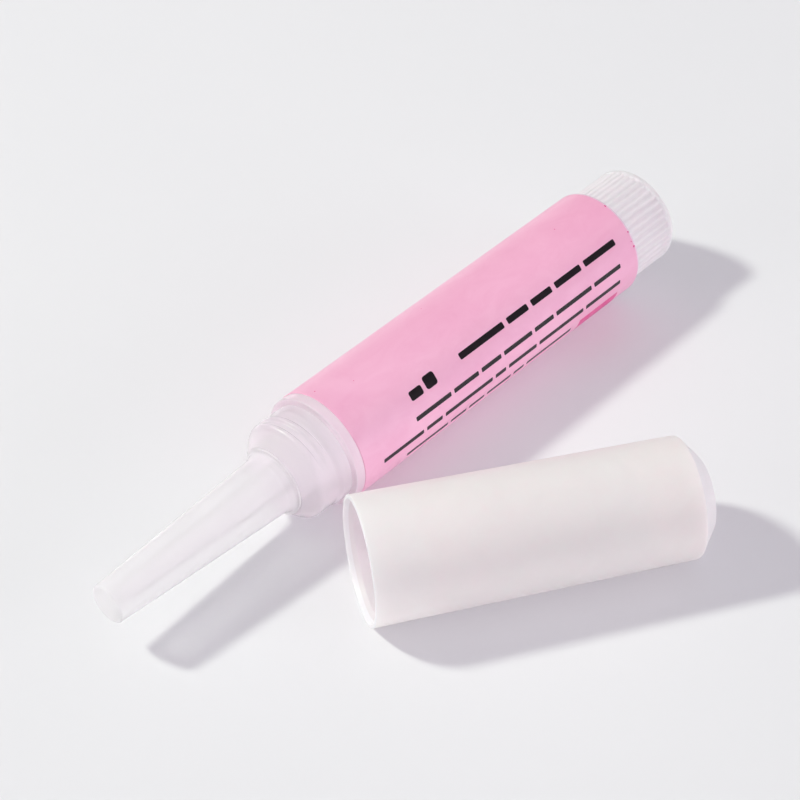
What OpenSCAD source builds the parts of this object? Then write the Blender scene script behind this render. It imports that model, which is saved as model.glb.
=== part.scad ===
// Small squeeze bottle for liquid nail glue, lying on its side with its long
// screw cap taken off and lying beside it. All lengths in millimetres.
// The bottle's axis lies along X, from the ribbed tail to the nozzle tip.
// The surface that it lies on is Z = 0.

/* [Barrel] */
// Outside diameter over the label
label_d = 11.0; // [10:0.1:12]
// Thickness of the label film
label_t = 0.1; // [0.08:0.01:0.15]
// Length of the label along the barrel
label_len = 38.3; // [34:0.1:42]
// Wall of the squeeze tube
tube_wall = 0.8; // [0.6:0.05:1.0]
// Bare tube left showing in front of the label
collar_len = 1.0; // [0.6:0.1:1.6]

/* [Tail] */
// Length of the ribbed tail that shows behind the label
tail_len = 6.3; // [5:0.1:8]
// Diameter over the ribs
tail_d = 10.0; // [9.4:0.1:10.4]
// Ribs around the tail
rib_count = 44; // [36:2:52]
// Depth of the ribs
rib_depth = 0.16; // [0.1:0.02:0.22]
// Length of the smooth rim at the tail's end
rim_len = 0.75; // [0.6:0.05:1.2]

/* [Neck and nozzle] */
// Diameter of the shoulder in front of the tube
shoulder_d = 9.7; // [9.5:0.05:9.76]
// Length of the shoulder
shoulder_len = 1.3; // [0.9:0.1:1.6]
// Root diameter of the threaded neck
neck_d = 9.32; // [9.2:0.02:9.36]
// Length of the threaded neck, with its conical front
neck_len = 3.53; // [3.3:0.01:3.7]
// Length of the cone that leads from the neck to the nozzle's foot
neck_cone = 1.33; // [1.1:0.01:1.4]
// Height of the thread ridge
thread_h = 0.22; // [0.14:0.01:0.24]
// Pitch of the thread
thread_pitch = 1.2; // [1:0.05:1.4]
// Nozzle length in front of the neck
nozzle_len = 19.27; // [18:0.01:21]
// Nozzle diameter just in front of its foot
nozzle_base_d = 5.6; // [5:0.1:6]
// Nozzle diameter at its tip
nozzle_tip_d = 3.7; // [3.2:0.1:4.2]

/* [Filling] */
// Height of the liquid's surface above the barrel's axis
fill_level = 1.45; // [-2:0.05:3]

/* [Cap] */
// Length of the cap
cap_len = 30.6; // [29.6:0.1:32]
// Outside diameter at the mouth
cap_mouth_d = 11.4; // [11.2:0.05:11.8]
// Outside diameter at the closed end, in front of its bevel
cap_end_d = 10.88; // [10.6:0.01:11.1]
// Length of the bevel around the closed end
cap_bevel_len = 1.6; // [1.2:0.1:2]
// Diameter of the flat inside the bevel
cap_flat_d = 6.8; // [6:0.1:8]
// Inside diameter of the plain bore
cap_bore_d = 9.1; // [9:0.02:9.12]
// Inside diameter of the threaded mouth
cap_thread_d = 9.9; // [9.88:0.01:9.94]
// Widening of the mouth by its lead-in cone
cap_lead = 0.4; // [0.2:0.05:0.45]
// Length of the lead-in cone
cap_lead_len = 0.8; // [0.4:0.1:1]
// Thickness of the closed end
cap_end_t = 2.0; // [1.7:0.1:2.4]
// Cap mouth ahead of the label's front edge
cap_ahead = 7.71; // [7:0.01:9]
// Cap mouth beside the bottle's axis
cap_beside = 12.02; // [12:0.01:14]
// Direction from the cap's mouth to its closed end, in plan
cap_yaw = 148.1; // [140:0.1:150]

/* [Hidden] */
$fn = 96;
label_r = label_d / 2;
tube_r = label_r - label_t;
bore_r = tube_r - tube_wall;
tail_r = tail_d / 2;
shoulder_r = shoulder_d / 2;
neck_r = neck_d / 2;
gap = 0.01;
// stations along the bottle, from the end of the tail
s_label = tail_len;
s_front = s_label + label_len;
s_collar = s_front + collar_len;
s_shoulder = s_collar + shoulder_len;
s_neck = s_shoulder + neck_len;
s_tip = s_neck + nozzle_len;
spigot_len = 2.5;
skirt_len = 4;
plug_r = 3.2;
flange_r = 3.35;
cap_ridge_h = 0.22;
// cap
cap_r0 = cap_mouth_d / 2;
cap_r1 = cap_end_d / 2;
cap_slope = (cap_r0 - cap_r1) / cap_len;
cap_tilt = atan(cap_slope);
cap_round = 0.35;
cap_bore_r = cap_bore_d / 2;
cap_thread_r = cap_thread_d / 2;
cap_thread_len = 4.4;
cap_seat_r = cap_bore_r - 0.45;
cap_depth = cap_len - cap_end_t;
seal_len = cap_depth - (s_tip - s_collar) - 0.1 + 0.4;
// the frame: origin on the floor, in the middle of the outline seen from above
cap_edge_r = cap_r1 + cap_slope * cap_bevel_len;
cap_bevel_a = atan((cap_edge_r - cap_flat_d / 2) / cap_bevel_len);
cap_turn = cap_bevel_a - cap_tilt;
// middle of the rounding between the cap's side and its bevel
cap_edge_z = cap_len - cap_bevel_len - cap_round / cos(cap_turn / 2) * sin(cap_tilt + cap_turn / 2);
cap_edge_c = cap_edge_r - cap_round / cos(cap_turn / 2) * cos(cap_tilt + cap_turn / 2);
y_far = cap_beside + cap_edge_z * sin(cap_yaw) + cap_edge_c * abs(cos(cap_yaw)) + cap_round;
x_mid = s_tip / 2;
y_mid = (y_far - label_r) / 2;

// quarter arc of a rounded edge, as profile points
function arc(cx, cy, r, a0, a1, n = 6) =
    [for (i = [0 : n]) [cx + r * cos(a0 + (a1 - a0) * i / n),
                        cy + r * sin(a0 + (a1 - a0) * i / n)]];

// height of a thread ridge that fades out at both ends
function fade(t, len, f) = max(0.04, min(1, min(t, len - t) / f));

// one stretch of a helical ridge: side +1 stands out of a neck, -1 into a cap
module thread_ridge(r, h, side, base_w, crest_w, pitch, a0, a1, z0, fade_deg, root = 0.06) {
    n = ceil(abs(a1 - a0) / 10);
    pts = [for (i = [0 : n])
        let (a = a0 + (a1 - a0) * i / n,
             z = z0 + pitch * (a - a0) / 360,
             k = fade(abs(a - a0), abs(a1 - a0), fade_deg),
             rb = r - side * root, rc = r + side * h * k,
             w = crest_w * (0.5 + 0.5 * k))
        each [[rb * cos(a), rb * sin(a), z - base_w / 2],
              [rc * cos(a), rc * sin(a), z - w / 2],
              [rc * cos(a), rc * sin(a), z + w / 2],
              [rb * cos(a), rb * sin(a), z + base_w / 2]]];
    quads = [for (i = [0 : n - 1]) for (j = [0 : 3])
        let (p = 4 * i + j, q = 4 * i + (j + 1) % 4)
        each [[p, q, q + 4], [p, q + 4, p + 4]]];
    ends = [[2, 1, 0], [3, 2, 0], [4 * n, 4 * n + 1, 4 * n + 2], [4 * n, 4 * n + 2, 4 * n + 3]];
    flip = (side > 0) != (a1 > a0);
    all_faces = concat(quads, ends);
    polyhedron(pts, flip ? [for (f = all_faces) [f[2], f[1], f[0]]] : all_faces, convexity = 6);
}

// bottle pieces are drawn along Z from the tail, then laid along X
module lay_bottle() {
    translate([-x_mid, -y_mid, label_r]) rotate([0, 90, 0]) children();
}

// the cap is drawn along Z from its mouth, then laid on its lower side
module lay_cap() {
    translate([s_front + cap_ahead - x_mid, cap_beside - y_mid, cap_r0 * cos(cap_tilt)])
        rotate([0, 90 + cap_tilt, cap_yaw]) children();
}

// plain squeeze tube, with its bare front rim softened
module barrel_tube() {
    color([0.90, 0.86, 0.88, 0.6]) lay_bottle() rotate_extrude()
        polygon(concat([[bore_r, s_label], [tube_r, s_label]],
                       arc(tube_r - 0.18, s_collar - 0.18, 0.18, 0, 90, 4),
                       [[bore_r, s_collar]]));
}

// printed film wrapped around the tube
module label_wrap() {
    color([0.91, 0.30, 0.55]) lay_bottle() rotate_extrude()
        polygon([[tube_r + gap, s_label + 0.02], [label_r, s_label + 0.02],
                 [label_r, s_front], [tube_r + gap, s_front]]);
}

// front fitment: spigot in the tube, shoulder, neck and thread
module threaded_neck() {
    s0 = s_collar - spigot_len;
    a_start = 115;
    cone_a = atan((neck_r - flange_r - 0.05) / neck_cone);
    color([0.90, 0.85, 0.88, 0.6]) lay_bottle() {
        difference() {
            union() {
                rotate_extrude() polygon(concat(
                    [[plug_r + gap, s0], [bore_r - gap - 0.15, s0], [bore_r - gap, s0 + 0.15],
                     [bore_r - gap, s_collar + gap], [shoulder_r, s_collar + gap],
                     [shoulder_r, s_shoulder - 0.3], [neck_r, s_shoulder + 0.2]],
                    arc(neck_r - 0.8, s_neck - neck_cone - 0.8 * tan(cone_a / 2), 0.8, 0, cone_a, 5),
                    [[flange_r + 0.05, s_neck], [plug_r + gap, s_neck]]));
                // the ridge is broken on one side: its front stretch, then the one behind it
                thread_ridge(neck_r, thread_h, 1, 0.75, 0.3, thread_pitch,
                             a_start, a_start + 140, s_front + 4.03, 35);
                thread_ridge(neck_r, thread_h, 1, 0.75, 0.3, thread_pitch,
                             a_start, a_start + 260, s_front + 4.03 - thread_pitch, 35);
            }
        }
    }
}

// tapered nozzle with a plug in the neck, a foot flange and a closed tip
module nozzle() {
    s0 = s_collar - 1;
    rb = nozzle_base_d / 2;
    rt = nozzle_tip_d / 2;
    tip_round = 0.55;
    fillet = 0.7;
    color([0.92, 0.87, 0.89, 0.6]) lay_bottle() rotate_extrude()
        polygon(concat(
            [[1.5, s0], [plug_r - 0.2, s0], [plug_r, s0 + 0.3], [plug_r, s_neck + gap],
             [flange_r, s_neck + gap], [flange_r, s_neck + 0.2]],
            arc(rb + fillet, s_neck + 0.2 + fillet, fillet, 245, 180, 5),
            arc(rt - tip_round, s_tip - tip_round, tip_round, 4, 90, 6),
            [[0, s_tip], [0, s_tip - 1.0], [0.7, s_tip - 1.3], [1.2, s_neck + 1]]));
}

// ribbed plug that closes the tail of the tube
module ribbed_tail_plug() {
    rib_r = tail_r - 0.03;
    core_r = tail_r - rib_depth;
    step = 360 / rib_count;
    star = [for (i = [0 : rib_count - 1])
            each [[core_r * cos(step * (i - 0.30)), core_r * sin(step * (i - 0.30))],
                  [rib_r * cos(step * (i - 0.16)), rib_r * sin(step * (i - 0.16))],
                  [rib_r * cos(step * (i + 0.16)), rib_r * sin(step * (i + 0.16))],
                  [core_r * cos(step * (i + 0.30)), core_r * sin(step * (i + 0.30))]]];
    color([0.90, 0.87, 0.89, 0.6]) lay_bottle() difference() {
        union() {
            translate([0, 0, rim_len - 0.1]) linear_extrude(height = tail_len - rim_len + 0.1) polygon(star);
            rotate_extrude() polygon(concat(
                [[0, 0]], arc(tail_r - 0.55, 0.55, 0.55, 270, 360, 5),
                [[tail_r, rim_len], [core_r, rim_len + 0.15], [core_r, tail_len], [bore_r - gap, tail_len],
                 [bore_r - gap, tail_len + skirt_len - 0.3],
                 [bore_r - gap - 0.3, tail_len + skirt_len], [0, tail_len + skirt_len]]));
        }
        translate([0, 0, 1.3]) cylinder(r = 3.7, h = tail_len + skirt_len);
    }
}

// liquid filling, level while the bottle lies on its side
module adhesive() {
    color([0.93, 0.90, 0.82, 0.5]) lay_bottle() intersection() {
        translate([0, 0, tail_len + skirt_len + 0.1])
            cylinder(r = bore_r - 0.05, h = s_collar - spigot_len - tail_len - skirt_len - 0.2);
        translate([-fill_level, -10, 0]) cube([20, 20, 100]);
    }
}

// long screw cap with a thread inside its mouth
module cap_shell() {
    // rounding between the bevel and the flat, met at half the bevel's angle
    flat_z = cap_len - cap_round;
    flat_c = cap_flat_d / 2 - cap_round * tan((90 - cap_bevel_a) / 2);
    color([0.93, 0.91, 0.91]) lay_cap() union() {
        rotate_extrude() polygon(concat(
            [[cap_thread_r + cap_lead, 0], [cap_r0 - 0.15, 0], [cap_r0 - cap_slope * 0.15, 0.15]],
            arc(cap_edge_c, cap_edge_z, cap_round, cap_tilt, cap_bevel_a, 5),
            arc(flat_c, flat_z, cap_round, cap_bevel_a, 90, 4),
            [[0, cap_len], [0, cap_depth], [cap_seat_r, cap_depth],
             [cap_seat_r, cap_depth - seal_len], [cap_bore_r, cap_depth - seal_len],
             [cap_bore_r, cap_thread_len], [cap_thread_r, cap_thread_len - 0.2],
             [cap_thread_r, cap_lead_len]]));
        thread_ridge(cap_thread_r, cap_ridge_h, -1, 0.6, 0.22, thread_pitch,
                     0, 500, 1.75, 50, 0.08);
    }
}

// soft cup pressed into the cap's closed end; the nozzle tip presses on its face
module cap_seal_cup() {
    z0 = cap_depth - seal_len;
    r = cap_seat_r - gap;
    color([0.95, 0.94, 0.93]) lay_cap() rotate_extrude()
        polygon([[0, z0 + 0.4], [nozzle_tip_d / 2 + 0.05, z0 + 0.4], [nozzle_tip_d / 2 + 0.45, z0],
                 [r, z0], [r, cap_depth - gap], [r - 0.8, cap_depth - gap],
                 [r - 0.8, z0 + 1.4], [0, z0 + 1.4]]);
}

barrel_tube();
label_wrap();
threaded_neck();
nozzle();
ribbed_tail_plug();
adhesive();
cap_shell();
cap_seal_cup();
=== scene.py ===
import math
import random

import bmesh
import bpy
import numpy as np
from mathutils import Matrix, Vector


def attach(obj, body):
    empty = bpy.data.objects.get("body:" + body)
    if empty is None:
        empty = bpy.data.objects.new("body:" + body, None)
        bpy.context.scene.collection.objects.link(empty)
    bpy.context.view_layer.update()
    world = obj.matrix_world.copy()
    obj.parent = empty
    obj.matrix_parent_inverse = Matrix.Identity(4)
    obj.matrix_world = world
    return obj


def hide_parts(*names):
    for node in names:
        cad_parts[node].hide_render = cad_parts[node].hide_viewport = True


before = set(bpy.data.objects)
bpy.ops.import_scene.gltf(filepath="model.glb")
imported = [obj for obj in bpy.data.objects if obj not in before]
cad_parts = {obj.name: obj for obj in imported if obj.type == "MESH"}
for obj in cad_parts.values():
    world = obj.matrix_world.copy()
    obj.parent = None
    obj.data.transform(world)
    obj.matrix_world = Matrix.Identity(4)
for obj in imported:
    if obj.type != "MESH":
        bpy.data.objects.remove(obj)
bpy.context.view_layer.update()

# ------------------------------------------------------------------ places
# Sizes below are in millimetres. s is the station along the bottle's axis from
# the flat tail end, th the angle about that axis from +Y (beside) towards +Z.
X_MID = 34.85
AXIS_Y = -13.2188956
AXIS_Z = 5.5

CAP_M = np.array([17.46, -1.1988957, 5.6997943])
CAP_D = np.array([-0.84894104, 0.52841926, -0.00849643])
CAP_SIDE = np.array([0.52843834, 0.84897169, 0.0])
CAP_UP = np.cross(CAP_SIDE, CAP_D)
CAP_UP = CAP_UP / np.linalg.norm(CAP_UP) * (1 if CAP_UP[2] > 0 else -1)


def on_bottle(s, r, th):
    s, r, th = np.broadcast_arrays(s, r, th)
    return np.stack([s - X_MID, AXIS_Y + r * np.cos(th), AXIS_Z + r * np.sin(th)], -1) * 1e-3


def on_cap(s, r, th):
    s, r, th = np.broadcast_arrays(s, r, th)
    p = CAP_M + s[..., None] * CAP_D
    p = p + (r * np.cos(th))[..., None] * CAP_SIDE + (r * np.sin(th))[..., None] * CAP_UP
    return p * 1e-3


def smooth(x):
    x = np.clip(x, 0.0, 1.0)
    return x * x * (3 - 2 * x)


# ------------------------------------------------------------------ mesh tools
def make(name, verts, faces, mats, face_mat=None, turn=True):
    me = bpy.data.meshes.new(name)
    me.from_pydata([tuple(map(float, v)) for v in verts], [], [tuple(map(int, f)) for f in faces])
    for m in mats:
        me.materials.append(m)
    if face_mat is not None:
        me.polygons.foreach_set("material_index", np.asarray(face_mat, np.int32))
    if turn:
        bm = bmesh.new()
        bm.from_mesh(me)
        bmesh.ops.recalc_face_normals(bm, faces=bm.faces[:])
        bm.to_mesh(me)
        bm.free()
    me.polygons.foreach_set("use_smooth", np.ones(len(me.polygons), bool))
    me.update()
    ob = bpy.data.objects.new(name, me)
    bpy.context.scene.collection.objects.link(ob)
    return ob


def profile(points, step=0.4, loop=False, arc_step=12.0):
    """Rounded outline from (s, r, rounding) corners, divided finely with tight spans beside each rounding."""
    pts = [np.array(p[:2], float) for p in points]
    rad = [p[2] if len(p) > 2 else 0.0 for p in points]
    n = len(pts)
    chains = []
    for i in range(n):
        p = pts[i]
        if (not loop and i in (0, n - 1)) or rad[i] <= 0:
            chains.append([p])
            continue
        a, b = pts[i - 1] - p, pts[(i + 1) % n] - p
        la, lb = np.linalg.norm(a), np.linalg.norm(b)
        a, b = a / la, b / lb
        ang = math.acos(max(-1.0, min(1.0, float(a @ b))))
        if math.pi - ang < 0.02:
            chains.append([p])
            continue
        t = min(rad[i] / math.tan(ang / 2), 0.499 * la, 0.499 * lb)
        rr = t * math.tan(ang / 2)
        c = p + (a + b) / np.linalg.norm(a + b) * (rr / math.sin(ang / 2))
        p0, p1 = p + a * t, p + b * t
        v0, v1 = p0 - c, p1 - c
        turn = math.pi - ang
        k = max(3, int(math.ceil(math.degrees(turn) / arc_step)))
        sgn = np.sign(v0[0] * v1[1] - v0[1] * v1[0])
        arc = []
        for j in range(k + 1):
            w = sgn * turn * j / k
            arc.append(c + np.array([v0[0] * math.cos(w) - v0[1] * math.sin(w),
                                     v0[0] * math.sin(w) + v0[1] * math.cos(w)]))
        chains.append(arc)
    out = []
    for i in range(n):
        out.extend(chains[i])
        if i == n - 1 and not loop:
            break
        p, q = chains[i][-1], chains[(i + 1) % n][0]
        d = float(np.linalg.norm(q - p))
        if d < 1e-6:
            continue
        lead = min(0.05, d / 4)
        k = max(1, int(math.ceil((d - 2 * lead) / step)))
        ts = [lead + (d - 2 * lead) * j / k for j in range(k + 1)] if d > 0.16 else []
        out.extend(p + (q - p) * (t / d) for t in ts)
    keep = [out[0]]
    for p in out[1:]:
        if np.linalg.norm(p - keep[-1]) > 1e-5:
            keep.append(p)
    if loop and np.linalg.norm(keep[0] - keep[-1]) < 1e-5:
        keep.pop()
    return np.array(keep)


def skin(name, S, R, th, place, loop, mats, row_mat=None):
    """Closed surface from rows of stations and radii. With loop the rows close on themselves; without, the first and last rows meet the axis."""
    k, n = R.shape
    P = place(S, R, th[None, :])
    verts, faces, fm = [], [], []
    if loop:
        verts = P.reshape(-1, 3)
        rows = [np.arange(n) + i * n for i in range(k)]
        pairs = [(i, (i + 1) % k) for i in range(k)]
    else:
        verts = np.concatenate([P[0, :1], P[1:-1].reshape(-1, 3), P[-1, :1]])
        rows = [None] + [1 + np.arange(n) + i * n for i in range(k - 2)] + [None]
        pairs = [(i, i + 1) for i in range(k - 1)]
    last = len(verts) - 1
    for i, j in pairs:
        a, b = rows[i], rows[j]
        m = 0 if row_mat is None else row_mat[i]
        if a is None:
            new = [(0, b[t], b[(t + 1) % n]) for t in range(n)]
        elif b is None:
            new = [(a[(t + 1) % n], a[t], last) for t in range(n)]
        else:
            new = [(a[t], b[t], b[(t + 1) % n], a[(t + 1) % n]) for t in range(n)]
        faces.extend(new)
        fm.extend([m] * len(new))
    return make(name, verts, faces, mats, fm)


def revolve(name, prof, n, place, loop, mats, bump=None, row_mat=None):
    th = np.linspace(0, 2 * math.pi, n, endpoint=False)
    S = np.repeat(prof[:, :1], n, 1)
    R = np.repeat(prof[:, 1:2], n, 1)
    if bump is not None:
        R = R + bump(S, R, np.broadcast_to(th[None, :], S.shape))
    return skin(name, S, R, th, place, loop, mats, row_mat)


# ------------------------------------------------------------------ materials
def shader(name, **values):
    m = bpy.data.materials.new(name)
    m.use_nodes = True
    b = m.node_tree.nodes["Principled BSDF"]
    for k, v in values.items():
        b.inputs[k.replace("_", " ")].default_value = v
    return m, m.node_tree, b


def coords(nt, scale=(1, 1, 1)):
    tc = nt.nodes.new("ShaderNodeTexCoord")
    mp = nt.nodes.new("ShaderNodeMapping")
    mp.inputs["Scale"].default_value = scale
    nt.links.new(tc.outputs["Object"], mp.inputs["Vector"])
    return mp.outputs["Vector"]


def noise(nt, scale, detail=3.0, rough=0.55, stretch=(1, 1, 1), distortion=0.0):
    t = nt.nodes.new("ShaderNodeTexNoise")
    t.inputs["Scale"].default_value = scale
    t.inputs["Detail"].default_value = detail
    t.inputs["Roughness"].default_value = rough
    t.inputs["Distortion"].default_value = distortion
    nt.links.new(coords(nt, stretch), t.inputs["Vector"])
    return t.outputs["Fac"]


def ramp(nt, fac, stops):
    r = nt.nodes.new("ShaderNodeValToRGB")
    e = r.color_ramp.elements
    while len(e) < len(stops):
        e.new(0.5)
    for el, (p, c) in zip(e, stops):
        el.position = p
        el.color = c if len(c) == 4 else (*c, 1.0)
    nt.links.new(fac, r.inputs["Fac"])
    return r.outputs["Color"]


def mix(nt, fac, a, b, kind="MIX"):
    m = nt.nodes.new("ShaderNodeMix")
    m.data_type = "RGBA"
    m.blend_type = kind
    for sock, v in ((m.inputs[0], fac), (m.inputs[6], a), (m.inputs[7], b)):
        if hasattr(v, "links") or isinstance(v, bpy.types.NodeSocket):
            nt.links.new(v, sock)
        else:
            sock.default_value = v if not isinstance(v, tuple) or len(v) == 4 else (*v, 1.0)
    return m.outputs[2]


def span(nt, fac, a, b, lo=0.0, hi=1.0):
    m = nt.nodes.new("ShaderNodeMapRange")
    m.inputs["From Min"].default_value = lo
    m.inputs["From Max"].default_value = hi
    m.inputs["To Min"].default_value = a
    m.inputs["To Max"].default_value = b
    nt.links.new(fac, m.inputs["Value"])
    return m.outputs["Result"]


def relief(nt, b, fac, depth, strength=1.0):
    bp = nt.nodes.new("ShaderNodeBump")
    bp.inputs["Strength"].default_value = strength
    bp.inputs["Distance"].default_value = depth
    nt.links.new(fac, bp.inputs["Height"])
    nt.links.new(bp.outputs["Normal"], b.inputs["Normal"])


def calc(nt, kind, *values):
    m = nt.nodes.new("ShaderNodeMath")
    m.operation = kind
    for sock, v in zip(m.inputs, values):
        if isinstance(v, bpy.types.NodeSocket):
            nt.links.new(v, sock)
        else:
            sock.default_value = v
    return m.outputs[0]


def groove_shade_mask(nt, ribs, s0):
    """1 in the grooves between the ribs that run along the bottle beyond station s0, 0 elsewhere; it masks the painted
    shade in the grooves.
    """
    sep = nt.nodes.new("ShaderNodeSeparateXYZ")
    nt.links.new(coords(nt), sep.inputs[0])
    y = calc(nt, "SUBTRACT", sep.outputs["Y"], AXIS_Y * 1e-3)
    z = calc(nt, "SUBTRACT", sep.outputs["Z"], AXIS_Z * 1e-3)
    wave = calc(nt, "COSINE", calc(nt, "MULTIPLY", calc(nt, "ARCTAN2", z, y), float(ribs)))
    along = span(nt, sep.outputs["X"], 0.0, 1.0, (s0 - X_MID) * 1e-3, (s0 + 0.2 - X_MID) * 1e-3)
    return calc(nt, "MULTIPLY", span(nt, wave, 1.0, 0.0, -0.75, 0.35), along)


def frosted(name, light, dark, transmission, rough, grain=1400.0, depth=2.5e-6, weight=0.0, scale=0.0012, ior=1.5, gloss=0.0, ribs=None):
    """Natural polyethylene: milky, with flow clouding, soft gloss and a fine moulded grain."""
    m, nt, b = shader(name, IOR=ior, Transmission_Weight=transmission)
    b.inputs["Specular IOR Level"].default_value = 0.8 if gloss else 0.42
    b.inputs["Coat Weight"].default_value = gloss
    b.inputs["Coat Roughness"].default_value = 0.22
    b.inputs["Coat IOR"].default_value = 1.55
    if weight:
        b.inputs["Subsurface Weight"].default_value = weight
        b.inputs["Subsurface Radius"].default_value = (1.0, 0.85, 0.9)
        b.inputs["Subsurface Scale"].default_value = scale
    cloud = noise(nt, 210, 4, 0.6, distortion=0.6)
    col = ramp(nt, cloud, [(0.30, dark), (0.70, light)])
    # Painted shade: the grooves between the ribs are darkened by the given factor.
    if ribs:
        col = mix(nt, groove_shade_mask(nt, ribs[0], ribs[1]), col, mix(nt, 1.0, col, ribs[2], "MULTIPLY"))
    nt.links.new(col, b.inputs["Base Color"])
    nt.links.new(span(nt, noise(nt, 420, 3), rough - 0.05, rough + 0.07, 0.3, 0.7), b.inputs["Roughness"])
    relief(nt, b, noise(nt, grain, 3), depth)
    return m


def label_paint(name, light, dark, speck, rough=0.36):
    """Printed film: clouded, with a few specks, and painted light and shade: darker towards the top and the underside,
    and paler towards the front as a painted highlight.
    """
    m, nt, b = shader(name, IOR=1.48)
    b.inputs["Specular IOR Level"].default_value = 0.35
    # The base is raised so that the painted shade and painted highlight below, which only darken, keep the mean tone.
    light, dark = (tuple(c * g for c, g in zip(v, (1.02, 1.10, 1.07))) for v in (light, dark))
    cloud = noise(nt, 150, 4, 0.6, stretch=(0.7, 1, 1), distortion=0.8)
    col = ramp(nt, cloud, [(0.28, dark), (0.72, light)])
    blotch = noise(nt, 480, 5, 0.65, stretch=(0.55, 1, 1), distortion=1.4)
    col = mix(nt, 1.0, col, ramp(nt, blotch, [(0.34, (0.976, 0.93, 0.955)), (0.62, (1.0, 1.0, 1.0))]), "MULTIPLY")
    # Painted shade by height: the colour is darkest at the top and on the underside, and full at about three quarters
    # of the height.
    sep = nt.nodes.new("ShaderNodeSeparateXYZ")
    nt.links.new(coords(nt), sep.inputs[0])
    up = span(nt, sep.outputs["Z"], 0.0, 1.0, 0.0, 2.0 * AXIS_Z * 1e-3)
    col = mix(nt, 1.0, col, ramp(nt, up, [(0.43, (0.951, 0.916, 0.924)), (0.586, (0.98, 0.963, 0.971)), (0.745, (1.0, 1.0, 1.0)),
                                          (0.915, (0.98, 0.935, 0.938)), (0.98, (0.966, 0.888, 0.914))]), "MULTIPLY")
    # Painted highlight: the colour is full towards the front and darker towards the rear, standing in for a sheen on
    # the front half.
    along = span(nt, sep.outputs["X"], 0.0, 1.0, -0.027, 0.009)
    col = mix(nt, 1.0, col, ramp(nt, along, [(0.0, (1.0, 0.945, 0.965)), (0.45, (1.0, 0.965, 0.98)), (1.0, (1.0, 1.0, 1.0))]), "MULTIPLY")
    v = nt.nodes.new("ShaderNodeTexVoronoi")
    v.inputs["Scale"].default_value = 330
    nt.links.new(coords(nt), v.inputs["Vector"])
    dots = span(nt, v.outputs["Distance"], 1.0, 0.0, 0.035, 0.11)
    rare = span(nt, noise(nt, 260, 2), 0.0, 1.0, 0.60, 0.66)
    mm = nt.nodes.new("ShaderNodeMath")
    mm.operation = "MULTIPLY"
    nt.links.new(dots, mm.inputs[0])
    nt.links.new(rare, mm.inputs[1])
    col = mix(nt, mm.outputs[0], col, speck)
    nt.links.new(col, b.inputs["Base Color"])
    nt.links.new(span(nt, noise(nt, 380, 3), rough - 0.05, rough + 0.08, 0.3, 0.7), b.inputs["Roughness"])
    relief(nt, b, noise(nt, 420, 4), 1.6e-5)
    return m


def plain_ink(name, light, dark, rough):
    m, nt, b = shader(name, IOR=1.5)
    nt.links.new(ramp(nt, noise(nt, 1500, 3), [(0.3, dark), (0.7, light)]), b.inputs["Base Color"])
    nt.links.new(span(nt, noise(nt, 900, 2), rough - 0.06, rough + 0.06, 0.3, 0.7), b.inputs["Roughness"])
    return m


M_TUBE = frosted("tube_plastic", (0.918, 0.803, 0.863), (0.903, 0.778, 0.843), 0.35, 0.37, ior=1.2, gloss=0.6)
M_NECK = frosted("neck_plastic", (0.926, 0.877, 0.907), (0.906, 0.857, 0.892), 0.60, 0.37, ior=1.2, gloss=1.0)
M_NOZZLE = frosted("nozzle_plastic", (0.922, 0.907, 0.914), (0.906, 0.890, 0.898), 0.70, 0.37, ior=1.2, gloss=0.6)
RIBS = 44
# Painted shade: the tail's rib grooves are painted about 6% darker.
M_TAIL = frosted("tail_plastic", (0.84, 0.799, 0.817), (0.815, 0.774, 0.797), 0.15, 0.37, weight=1.0, scale=0.003, ribs=(RIBS, 0.75, (0.94, 0.93, 0.94)))
M_CAP = frosted("cap_plastic", (0.836, 0.791, 0.781), (0.816, 0.766, 0.761), 0.0, 0.38, weight=1.0, scale=0.002)
# Painted shade: the cap's inside is a darker copy of the cap's plastic, as if shaded in the hollow.
M_CAP_IN_PAINTED_SHADE = frosted("cap_inside_painted_shade", (0.738, 0.684, 0.708), (0.718, 0.66, 0.688), 0.0, 0.40, weight=1.0, scale=0.002)
# Painted shade: the closed end is a darker, cooler copy of the cap's plastic.
M_CAP_END_PAINTED_SHADE = frosted("cap_end_painted_shade", (0.765, 0.74, 0.752), (0.745, 0.72, 0.732), 0.0, 0.38, weight=1.0, scale=0.002)
# Painted shade: the mouth rim is a darker, bluer copy of the cap's plastic, toning down where it catches the key lamp.
M_CAP_RIM_PAINTED_SHADE = frosted("cap_rim_painted_shade", (0.81, 0.77, 0.815), (0.79, 0.75, 0.795), 0.0, 0.36, weight=1.0, scale=0.002)
M_SEAL = frosted("seal_plastic", (0.92, 0.90, 0.90), (0.89, 0.87, 0.87), 0.0, 0.4, weight=0.6)
M_LABEL = label_paint("label_film", (0.947, 0.514, 0.688), (0.902, 0.459, 0.638), (0.62, 0.06, 0.28))
M_MARGIN = label_paint("label_margin", (0.90, 0.745, 0.835), (0.88, 0.69, 0.805), (0.80, 0.50, 0.65))
M_INK = plain_ink("print_black", (0.018, 0.013, 0.017), (0.010, 0.007, 0.010), 0.42)
M_ROSE = plain_ink("print_rose", (0.80, 0.10, 0.33), (0.74, 0.07, 0.28), 0.38)
m, nt, b = shader("liquid", IOR=1.45, Transmission_Weight=1.0, Roughness=0.03)
nt.links.new(ramp(nt, noise(nt, 160, 2), [(0.3, (0.97, 0.95, 0.91)), (0.7, (0.99, 0.97, 0.94))]), b.inputs["Base Color"])
M_LIQUID = m

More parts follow.
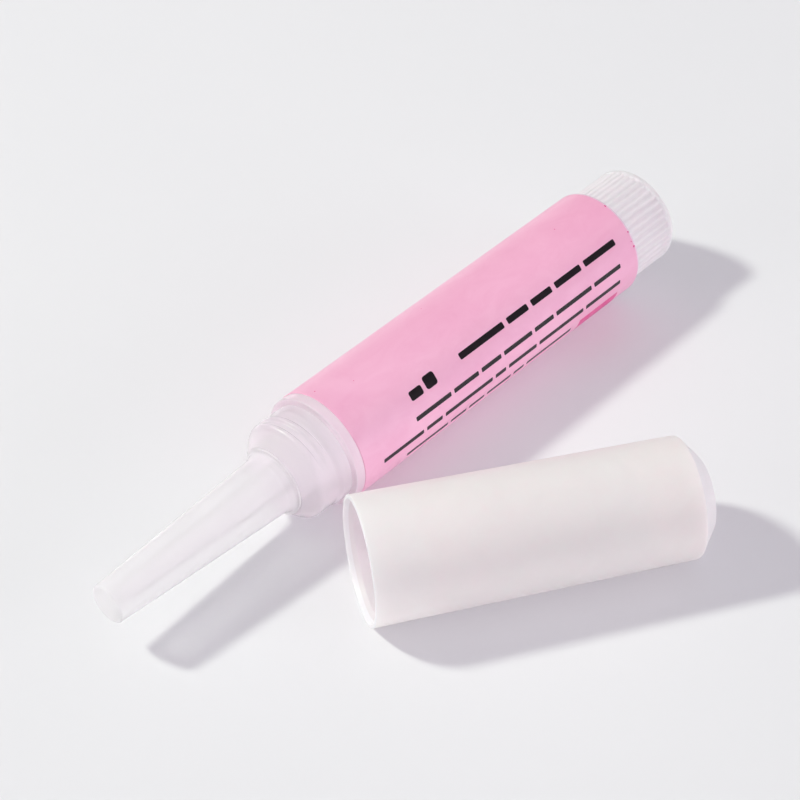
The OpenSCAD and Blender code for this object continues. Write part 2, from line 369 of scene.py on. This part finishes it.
# ------------------------------------------------------------------ bottle: tube
TUBE = profile([(6.30, 4.60, 0.04), (6.30, 5.40, 0.06), (45.60, 5.40, 0.09), (45.60, 4.60, 0.06)], 0.9, True)
tube = revolve("barrel_tube_skin", TUBE, 160, on_bottle, True, [M_TUBE, M_NECK], None, [1 if q[0] > 45.5 else 0 for q in TUBE])
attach(tube, "bottle"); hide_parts("barrel_tube")


# ------------------------------------------------------------------ bottle: neck with its thread
def ridge(d, base, crest):
    return smooth((base / 2 - np.abs(d)) / (base / 2 - crest / 2))


def neck_thread(S, R, TH):
    a = np.mod(np.degrees(TH) - 25.0, 360.0)
    out = np.zeros_like(S)
    for length, s_at in ((140.0, 48.63), (260.0, 47.43)):
        k = smooth(np.minimum(a, length - a) / 34.0)
        out = np.maximum(out, 0.22 * k * ridge(S - (s_at + 1.2 * a / 360.0), 0.80, 0.20))
    return np.where((R > 3.9) & (S > 46.8), out, 0.0)


NECK = np.concatenate([
    profile([(43.35, 3.21), (43.10, 3.21, 0.05), (43.10, 4.59, 0.15), (45.61, 4.59, 0.04), (45.61, 4.85, 0.06), (46.45, 4.85)], 0.5),
    profile([(46.46, 4.85), (46.60, 4.85, 0.6), (47.10, 4.66, 0.6), (49.10, 4.66, 0.8), (50.43, 3.40, 0.10), (50.43, 3.21, 0.05), (50.30, 3.21)], 0.045),
    profile([(50.2, 3.21), (43.40, 3.21)], 0.5)])
keep = [0]
for i in range(1, len(NECK)):
    if np.linalg.norm(NECK[i] - NECK[keep[-1]]) > 1e-4:
        keep.append(i)
NECK = NECK[keep]
neck = revolve("threaded_neck_skin", NECK, 240, on_bottle, True, [M_NECK], neck_thread)
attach(neck, "bottle"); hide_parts("threaded_neck")

# ------------------------------------------------------------------ bottle: nozzle
NOZ = profile([(69.70, 0.0), (69.70, 1.85, 0.22), (51.33, 2.80, 0.6), (50.64, 3.05, 0.25), (50.62, 3.35, 0.05), (50.44, 3.35, 0.04),
               (50.44, 3.20, 0.02), (44.90, 3.20, 0.1), (44.60, 3.00, 0.1), (44.60, 1.50, 0.1), (51.43, 1.20, 0.8),
               (68.40, 0.70, 0.3), (68.70, 0.0)], 0.5)
nozzle = revolve("nozzle_skin", NOZ, 144, on_bottle, False, [M_NOZZLE])
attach(nozzle, "bottle"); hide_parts("nozzle")

# ------------------------------------------------------------------ bottle: ribbed tail
N_T = RIBS * 12
th = np.linspace(0, 2 * math.pi, N_T, endpoint=False)
f = np.abs(np.mod(th / (2 * math.pi) * RIBS - 0.25 * RIBS + 0.5, 1.0) - 0.5)
g = smooth((0.34 - f) / (0.34 - 0.10))
rows_top, rows_core = [(0.0, 0.0)], [(0.0, 0.0)]
for r in (0.8, 1.6, 2.4, 3.2, 3.8, 4.15, 4.30):
    rows_top.append((0.0, r)); rows_core.append((0.0, r))
for a in np.radians(np.linspace(0, 90, 9)):
    rows_top.append((0.55 - 0.55 * math.cos(a), 4.45 + 0.55 * math.sin(a)))
    rows_core.append(rows_top[-1])
for s in (0.62, 0.70, 0.75, 0.80, 0.85, 0.90, 0.96, 1.05, 1.5, 2.2, 3.0, 3.8, 4.6, 5.4, 5.9, 6.12, 6.2, 6.25):
    k = float(smooth((s - 0.70) / 0.24))
    rows_top.append((s, 5.0 - 0.03 * k)); rows_core.append((s, 5.0 - 0.16 * k))
for s, r in ((6.29, 4.94), (6.30, 4.88)):
    rows_top.append((s, r)); rows_core.append((s, r - 0.11))
tail_in = profile([(6.30, 4.70), (6.30, 4.59, 0.03), (10.30, 4.59, 0.3), (10.30, 3.70, 0.15), (1.30, 3.70, 0.3), (1.30, 0.0)], 0.6)
T, C = np.array(rows_top), np.array(rows_core)
S = C[:, :1] + (T[:, :1] - C[:, :1]) * g[None, :]
R = C[:, 1:] + (T[:, 1:] - C[:, 1:]) * g[None, :]
S = np.concatenate([S, np.repeat(tail_in[:, :1], N_T, 1)])
R = np.concatenate([R, np.repeat(tail_in[:, 1:], N_T, 1)])
tail = skin("ribbed_tail_skin", S, R, th, on_bottle, False, [M_TAIL])
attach(tail, "bottle"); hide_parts("ribbed_tail_plug")

# ------------------------------------------------------------------ bottle: filling with a meniscus
n_arc, n_top = 56, 40
lev = 1.45
a0 = math.asin(lev / 4.55)
arc = np.linspace(math.pi - a0, 2 * math.pi + a0, n_arc)
yy = 4.55 * np.cos(arc)
zz = 4.55 * np.sin(arc)
half = 4.55 * math.cos(a0)
yt = np.linspace(half, -half, n_top + 2)[1:-1]
zt = lev - 0.30 + 0.30 * np.exp(-(half - np.abs(yt)) / 0.35)
sec_y, sec_z = np.concatenate([yy, yt]), np.concatenate([zz, zt])
st = np.concatenate([[10.40, 10.43, 10.5], np.linspace(10.8, 42.6, 40), [42.9, 42.97, 43.0]])
shrink = np.concatenate([[0.985, 0.996, 1.0], np.ones(40), [1.0, 0.996, 0.985]])
n = len(sec_y)
verts, faces = [], []
for s, k in zip(st, shrink):
    for y, z in zip(sec_y, sec_z):
        verts.append(((s - X_MID) * 1e-3, (AXIS_Y + y * k) * 1e-3, (AXIS_Z + z * k) * 1e-3))
for i in range(len(st) - 1):
    for j in range(n):
        q = (j + 1) % n
        faces.append((i * n + j, i * n + q, (i + 1) * n + q, (i + 1) * n + j))
for i, s in ((0, st[0]), (len(st) - 1, st[-1])):
    c = len(verts)
    verts.append(((s - X_MID) * 1e-3, AXIS_Y * 1e-3, (AXIS_Z - 1.2) * 1e-3))
    faces.extend((c, i * n + j, i * n + (j + 1) % n) for j in range(n))
filling = make("adhesive_filling", verts, faces, [M_LIQUID])
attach(filling, "bottle"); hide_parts("adhesive")


# ------------------------------------------------------------------ bottle: label film, wrapped with an overlap
def wavy(th, seed, size):
    rnd = random.Random(seed)
    out = np.zeros_like(th)
    for k in (2, 3, 5, 9, 14, 23, 37):
        out += math.sqrt(2.0 / k) * rnd.uniform(0.3, 1.0) * np.sin(k * th + rnd.uniform(0, 6.3))
    return size * out / 2.2


L_START, L_SPAN, FILM = -118.0, 374.0, 0.042
nt_ = 440
thl = np.radians(L_START + L_SPAN * np.linspace(0, 1, nt_))
lift = smooth((np.degrees(thl) - (L_START + 352.0)) / 8.0) * (FILM + 0.002)
r_in = 5.412 + lift
rear = 6.335 + wavy(thl, 5, 0.018)
front = 44.585 + wavy(thl, 8, 0.012)
v = np.concatenate([[0.0, 0.0035, 0.0045, 0.008], np.linspace(0.02, 0.98, 56), [0.992, 0.9965, 1.0]])
ns_ = len(v)
Sg = rear[:, None] + (front - rear)[:, None] * v[None, :]
outer = on_bottle(Sg, (r_in + FILM)[:, None], thl[:, None]).reshape(-1, 3)
inner = on_bottle(Sg, r_in[:, None], thl[:, None]).reshape(-1, 3)
verts = np.concatenate([outer, inner])
off = nt_ * ns_
faces, fm = [], []
for i in range(nt_ - 1):
    for j in range(ns_ - 1):
        a, b_, c, d = i * ns_ + j, i * ns_ + j + 1, (i + 1) * ns_ + j + 1, (i + 1) * ns_ + j
        mt = 1 if j < 1 else 0
        faces.append((a, b_, c, d)); fm.append(mt)
        faces.append((off + a, off + d, off + c, off + b_)); fm.append(mt)
    for j, mt in ((0, 1), (ns_ - 1, 0)):
        a, d = i * ns_ + j, (i + 1) * ns_ + j
        faces.append((a, d, off + d, off + a)); fm.append(mt)
for i in (0, nt_ - 1):
    for j in range(ns_ - 1):
        a, b_ = i * ns_ + j, i * ns_ + j + 1
        faces.append((a, b_, off + b_, off + a)); fm.append(0)
label = make("label_film_wrap", verts, faces, [M_LABEL, M_MARGIN], fm)
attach(label, "bottle"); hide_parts("label_wrap")


# ------------------------------------------------------------------ bottle: generic print on the label
def blocks(name, items, r0, r1, mat, corner=0.45):
    """Thin curved bars of ink with rounded ends: (s0, s1, th0, th1 in degrees)."""
    verts, faces = [], []
    for s0, s1, t0, t1 in items:
        rd = min(corner * math.radians(t1 - t0) * 5.46, (s1 - s0) / 2)
        dt = math.degrees(rd / 5.46)
        ts = [t0 + dt * (1 - math.cos(a)) for a in np.linspace(0, math.pi / 2, 6)]
        mid = list(np.linspace(t0 + dt, t1 - dt, max(2, int((t1 - t0 - 2 * dt) / 2.5) + 2)))[1:-1]
        te = [t1 - dt * (1 - math.cos(a)) for a in np.linspace(math.pi / 2, 0, 6)]
        cuts = [rd * (1 - math.sin(a)) for a in np.linspace(0, math.pi / 2, 6)]
        rows = list(zip(ts, cuts)) + [(x, 0.0) for x in mid] + list(zip(te, cuts[::-1]))
        base = len(verts)
        for a, cut in rows:
            for s, r in ((s0 + cut, r1), (s1 - cut, r1), (s1 - cut, r0), (s0 + cut, r0)):
                verts.append(on_bottle(np.float64(s), np.float64(r), np.radians(a)))
        for j in range(len(rows) - 1):
            for q in range(4):
                a, b_ = base + 4 * j + q, base + 4 * j + (q + 1) % 4
                faces.append((a, b_, b_ + 4, a + 4))
        faces.append((base, base + 1, base + 2, base + 3))
        e = base + 4 * (len(rows) - 1)
        faces.append((e, e + 1, e + 2, e + 3))
    ob = make(name, verts, faces, [mat])
    ob.data.polygons.foreach_set("use_smooth", np.zeros(len(ob.data.polygons), bool))
    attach(ob, "bottle")
    return ob


def filler_line(rnd, s0, s1, low, high, unit, gap):
    """A row of plain bars with word-like lengths."""
    out, s = [], s0
    while s < s1 - unit:
        e = min(s1, s + unit * rnd.choice((3, 4, 5, 6, 7, 9, 11)) - gap)
        if s1 - e < 3 * unit:
            e = s1
        out.append((s, e, low, high))
        s = e + gap
    return out


rnd = random.Random(41)
ink = []
ink += filler_line(rnd, 8.55, 30.7, 40.6, 47.4, 0.85, 0.55)
ink += filler_line(rnd, 8.95, 37.7, 16.4, 21.2, 0.62, 0.42)
ink += filler_line(rnd, 9.15, 42.2, -1.8, 3.0, 0.62, 0.42)
ink += filler_line(rnd, 16.2, 39.0, -20.0, -15.2, 0.62, 0.42)
ink += [(34.0, 35.4, 36.5, 50.0), (35.85, 37.4, 36.5, 46.0)]
print_black = blocks("label_print_black", ink, 5.4545, 5.4620, M_INK, 0.22)
flecks = [(6.44, 6.60, 77.6, 80.4), (6.40, 6.58, 42.6, 44.6), (6.42, 6.68, 26.4, 28.6), (6.60, 6.72, 33.0, 34.2),
          (12.55, 12.68, 91.4, 92.8), (43.74, 43.88, 103.4, 104.8), (40.6, 40.69, 86.0, 86.9), (29.2, 29.3, 112.0, 113.0)]
print_rose = blocks("label_print_rose", [(9.2, 14.9, -38.0, -13.5)], 5.4545, 5.4600, M_ROSE, 0.03)
print_flecks = blocks("label_flecks", flecks, 5.4545, 5.4590, M_ROSE, 0.45)


# ------------------------------------------------------------------ cap: shell with its inner thread
def cap_thread(S, R, TH):
    phi = np.mod(np.degrees(TH), 360.0)
    out = np.zeros_like(S)
    for turn in (0, 1):
        a = phi + 360.0 * turn
        k = smooth(np.minimum(a, 500.0 - a) / 50.0)
        out = np.maximum(out, 0.22 * k * ridge(S - (1.75 + 1.2 * a / 360.0), 0.6, 0.18))
    return np.where((R > 4.8) & (R < 5.05) & (S > 0.9) & (S < 4.25), -out, 0.0)


CAPP = np.concatenate([
    profile([(30.60, 0.0), (30.60, 3.40, 0.40), (29.00, 5.4536, 0.35), (0.0, 5.70, 0.13), (0.0, 5.35, 0.07), (0.80, 4.95, 0.15), (1.0, 4.95)], 0.6),
    profile([(1.0, 4.95), (4.20, 4.95), (4.22, 4.94)], 0.06)[1:-1],
    profile([(4.0, 4.95), (4.20, 4.95, 0.1), (4.40, 4.55, 0.1), (23.80, 4.55, 0.05), (23.80, 4.10, 0.05), (28.60, 4.10, 0.3), (28.60, 0.0)], 0.7)])
keep = [0]
for i in range(1, len(CAPP)):
    back = CAPP[i][0] < CAPP[keep[-1]][0] and len(keep) > 30 and CAPP[i][1] < 5.2 and CAPP[i][0] < 5
    if np.linalg.norm(CAPP[i] - CAPP[keep[-1]]) > 1e-4 and not back:
        keep.append(i)
CAPP = CAPP[keep]
mouth = int(np.argmin(CAPP[:, 0] + 0.01 * CAPP[:, 1]))
# Face zones: 1 inside, 2 closed end, 3 mouth rim, 0 outside; zones 1 to 3 take painted-shade copies of the cap's
# plastic.
part = [1 if i > mouth and q[0] > 0.1 else 2 if q[0] > 29.05 else 3 if q[0] < 0.1 else 0 for i, q in enumerate(CAPP)]
cap = revolve("cap_shell_skin", CAPP, 200, on_cap, False, [M_CAP, M_CAP_IN_PAINTED_SHADE, M_CAP_END_PAINTED_SHADE, M_CAP_RIM_PAINTED_SHADE], cap_thread, part)
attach(cap, "cap"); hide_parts("cap_shell")

SEAL = profile([(24.20, 0.0), (24.20, 1.90, 0.15), (23.80, 2.30, 0.12), (23.80, 4.09, 0.08), (28.59, 4.09, 0.08), (28.59, 3.29, 0.08),
                (25.20, 3.29, 0.3), (25.20, 0.0)], 0.4)
seal = revolve("cap_seal_skin", SEAL, 120, on_cap, False, [M_SEAL])
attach(seal, "cap"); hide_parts("cap_seal_cup")

# ------------------------------------------------------------------ floor, light, camera
m, nt, b = shader("floor_paper", Roughness=0.85)
b.inputs["Specular IOR Level"].default_value = 0.1
nt.links.new(ramp(nt, noise(nt, 9, 3), [(0.3, (0.782, 0.779, 0.798)), (0.7, (0.796, 0.793, 0.81))]), b.inputs["Base Color"])
me = bpy.data.meshes.new("floor")
me.from_pydata([(-3, -3, 0), (3, -3, 0), (3, 3, 0), (-3, 3, 0)], [], [(0, 1, 2, 3)])
me.materials.append(m)
floor = bpy.data.objects.new("floor", me)
floor.location.z = -2e-5
bpy.context.scene.collection.objects.link(floor)

m, nt, b = shader("backdrop_paper", Roughness=0.9)
b.inputs["Base Color"].default_value = (0.0, 0.0, 0.0, 1.0)
nt.links.new(ramp(nt, noise(nt, 0.6, 2), [(0.3, (0.985, 0.985, 1.0)), (0.7, (1.0, 1.0, 1.0))]), b.inputs["Emission Color"])
b.inputs["Emission Strength"].default_value = 0.66
m.cycles.emission_sampling = "NONE"
turns, rises = 64, 24
verts = [(2.8 * math.cos(e) * math.cos(a), 2.8 * math.cos(e) * math.sin(a), 2.8 * math.sin(e))
         for e in np.radians(np.linspace(-3, 88, rises)) for a in np.linspace(0, 2 * math.pi, turns, endpoint=False)]
verts.append((0.0, 0.0, 2.8))
faces = [(i * turns + j, i * turns + (j + 1) % turns, (i + 1) * turns + (j + 1) % turns, (i + 1) * turns + j)
         for i in range(rises - 1) for j in range(turns)]
faces += [((rises - 1) * turns + j, (rises - 1) * turns + (j + 1) % turns, len(verts) - 1) for j in range(turns)]
backdrop = make("backdrop", verts, faces, [m])
backdrop.visible_diffuse = backdrop.visible_glossy = backdrop.visible_shadow = False

world = bpy.data.worlds.new("studio")
bpy.context.scene.world = world
world.use_nodes = True
bg = world.node_tree.nodes["Background"]
bg.inputs["Color"].default_value = (0.98, 0.97, 1.0, 1.0)
bg.inputs["Strength"].default_value = 0.06


def sun(name, energy, angle, to_light, color, even=False):
    """A broad far panel that casts no hard shadow, as light that wraps round from a white tent. An even one also reaches into the contacts."""
    lamp = bpy.data.lights.new(name, "SUN")
    lamp.energy = energy
    lamp.angle = math.radians(angle)
    lamp.color = color
    lamp.use_shadow = False
    lamp.cycles.use_multiple_importance_sampling = not even
    ob = bpy.data.objects.new(name, lamp)
    ob.rotation_euler = Vector(to_light).normalized().to_track_quat("Z", "Y").to_euler()
    ob.visible_glossy = False
    bpy.context.scene.collection.objects.link(ob)
    return ob


key_lamp = bpy.data.lights.new("key", "POINT")
key_lamp.shadow_soft_size = 0.025
key_lamp.energy = 1.0
key_lamp.color = (0.98, 1.05, 0.93)
key_lamp.use_nodes = True
kt = key_lamp.node_tree
fall = kt.nodes.new("ShaderNodeLightFalloff")
fall.inputs["Strength"].default_value = 21.2
kt.links.new(fall.outputs["Constant"], kt.nodes["Emission"].inputs["Strength"])
key = bpy.data.objects.new("key", key_lamp)
key.location = (0.1774, -0.2601, 0.3159)
bpy.context.scene.collection.objects.link(key)

sun("tent", 1.09, 120.0, (0.0, 0.0, 1.0), (0.978, 0.936, 1.006))
sun("tent_even", 0.61, 120.0, (0.0, 0.0, 1.0), (0.978, 0.936, 1.006), True)
sun("front", 1.52, 40.0, (-0.45, 0.88, 0.10), (0.99, 0.955, 1.005))
sun("side", 0.46, 40.0, (0.92, -0.35, 0.15), (1.0, 0.98, 1.0))

cam = bpy.data.cameras.new("camera")
cam.sensor_fit = "HORIZONTAL"
cam.sensor_width = 36.0
cam.lens = 2099.85 * 36.0 / 800.0
cam.clip_start = 0.01
cam.clip_end = 20
eye = bpy.data.objects.new("camera", cam)
az, el, roll = 2.3228, 0.7647, -0.0033
back = Vector((math.sin(az) * math.cos(el), -math.cos(az) * math.cos(el), math.sin(el)))
right = Vector((0, 0, 1)).cross(back).normalized()
up = back.cross(right)
r2 = right * math.cos(roll) + up * math.sin(roll)
u2 = up * math.cos(roll) - right * math.sin(roll)
rot = Matrix((r2, u2, back)).transposed().to_4x4()
eye.matrix_world = Matrix.Translation(Vector((0.100825, 0.0815643, 0.137073))) @ rot
bpy.context.scene.collection.objects.link(eye)
bpy.context.scene.camera = eye
bpy.context.scene.view_settings.view_transform = "Standard"
